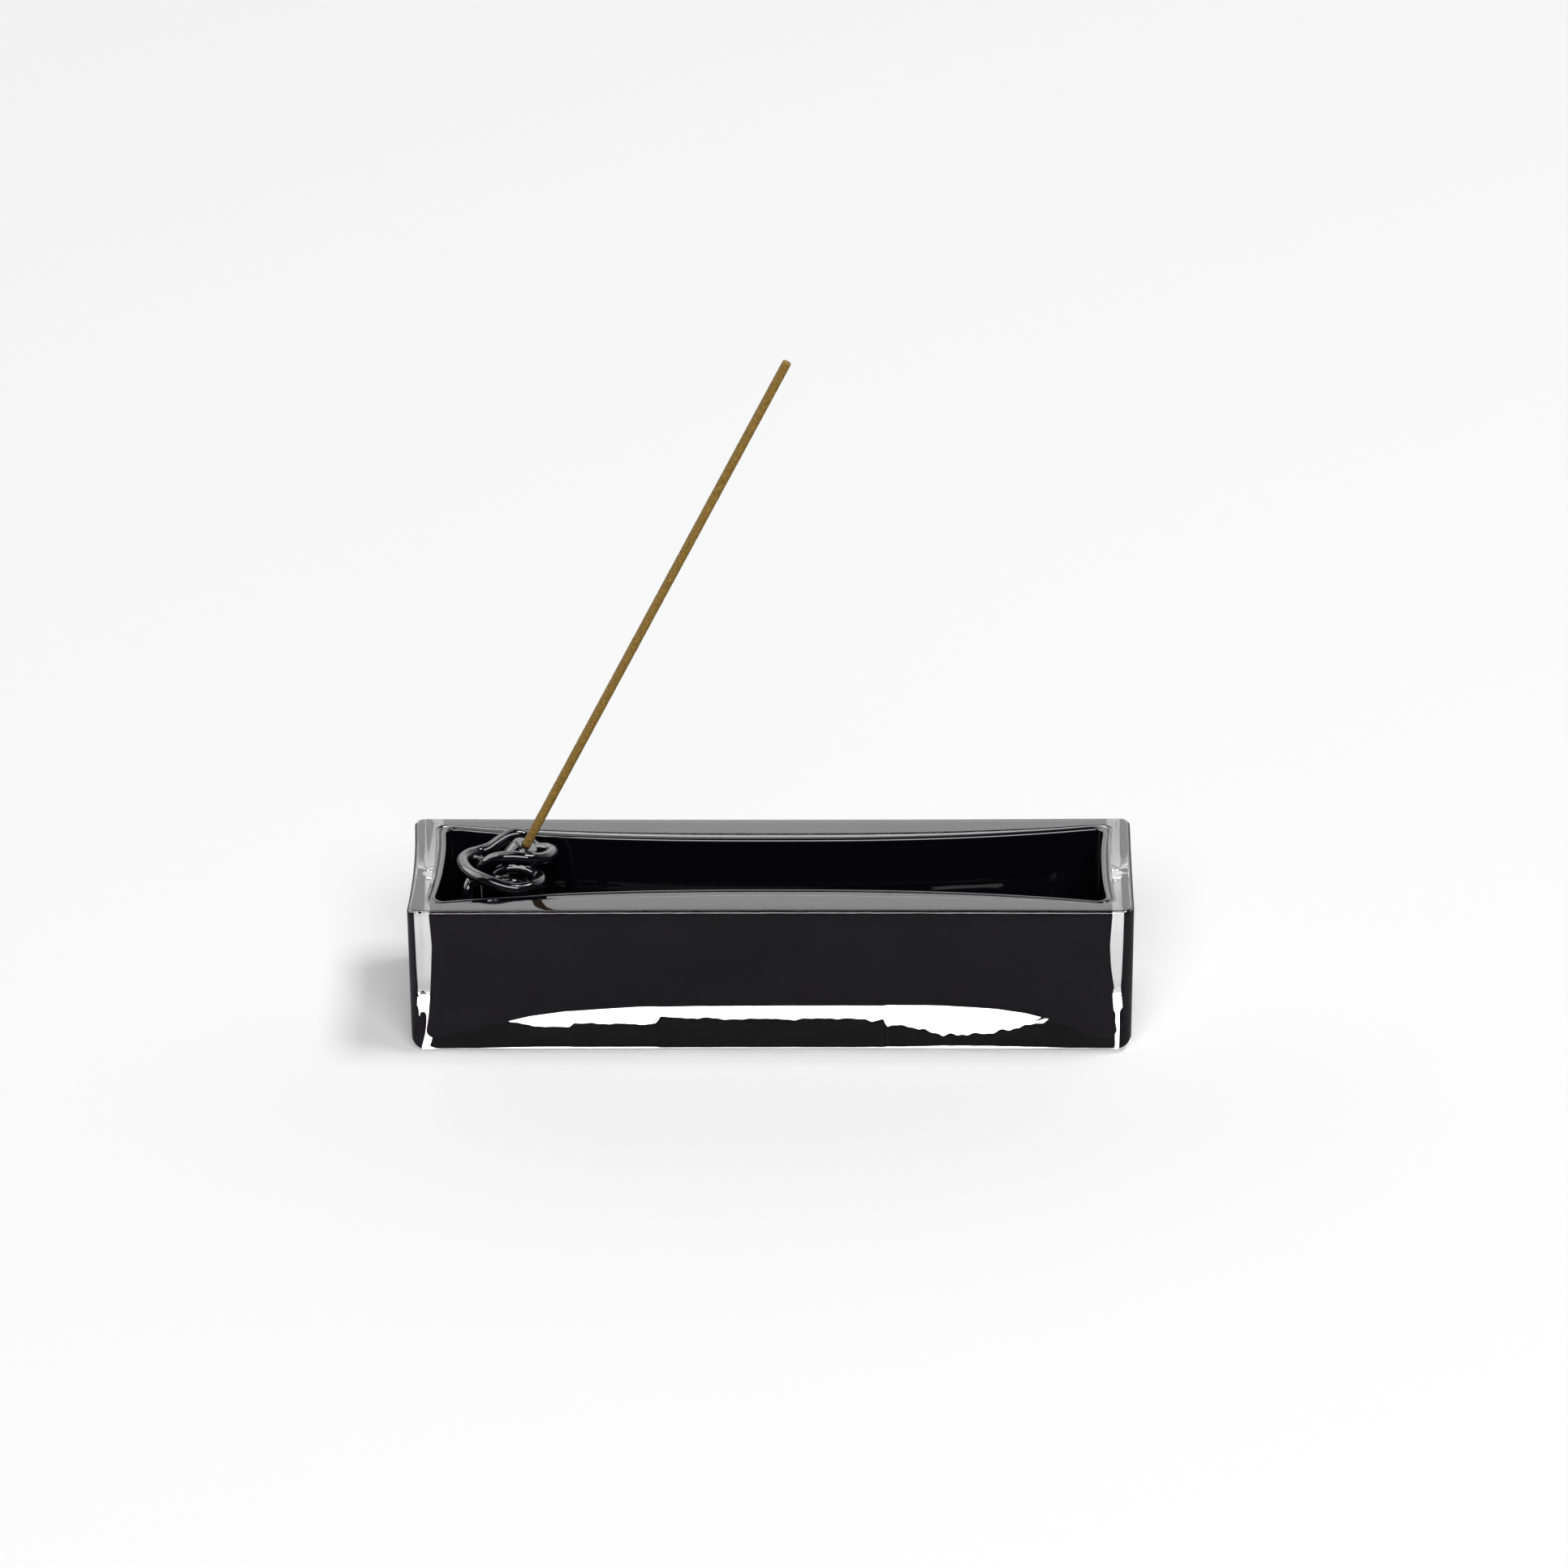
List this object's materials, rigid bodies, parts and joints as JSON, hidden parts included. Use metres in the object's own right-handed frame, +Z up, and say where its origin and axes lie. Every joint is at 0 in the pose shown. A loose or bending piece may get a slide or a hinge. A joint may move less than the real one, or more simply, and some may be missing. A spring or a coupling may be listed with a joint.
{
  "type": "incense burner",
  "caption": "Cased glass trough with a black lined cavity and a loose knot of glass thread that holds one leaning incense stick.",
  "frame": {"origin": "centre of the underside of the trough, on the surface it stands on", "axes": "+X along the trough, with the knot at the -X end; -Y is the front; +Z up"},
  "size_m": [0.18, 0.048, 0.1792],
  "materials": {
    "clear_glass": "fire-polished clear",
    "black_glass": "opaque black, glossy",
    "knot_glass": "opaque black, fire-polished",
    "incense_paste": "matte pressed wood powder"
  },
  "bodies": {
    "trough": {"clear_casing": "clear_glass", "black_lining": "black_glass"},
    "knot": {"knot_bead": "knot_glass", "knot_thread": "knot_glass"},
    "stick": {"incense_stick": "incense_paste"}
  },
  "joints": [
    {"name": "knot_lift", "type": "slide", "parent": "trough", "child": "knot", "axis": [0, 0, 1], "range_m": [0, 0.05]},
    {"name": "stick_pull", "type": "slide", "parent": "knot", "child": "stick", "axis": [0.4415, 0, 0.8973], "range_m": [0, 0.04]}
  ]
}
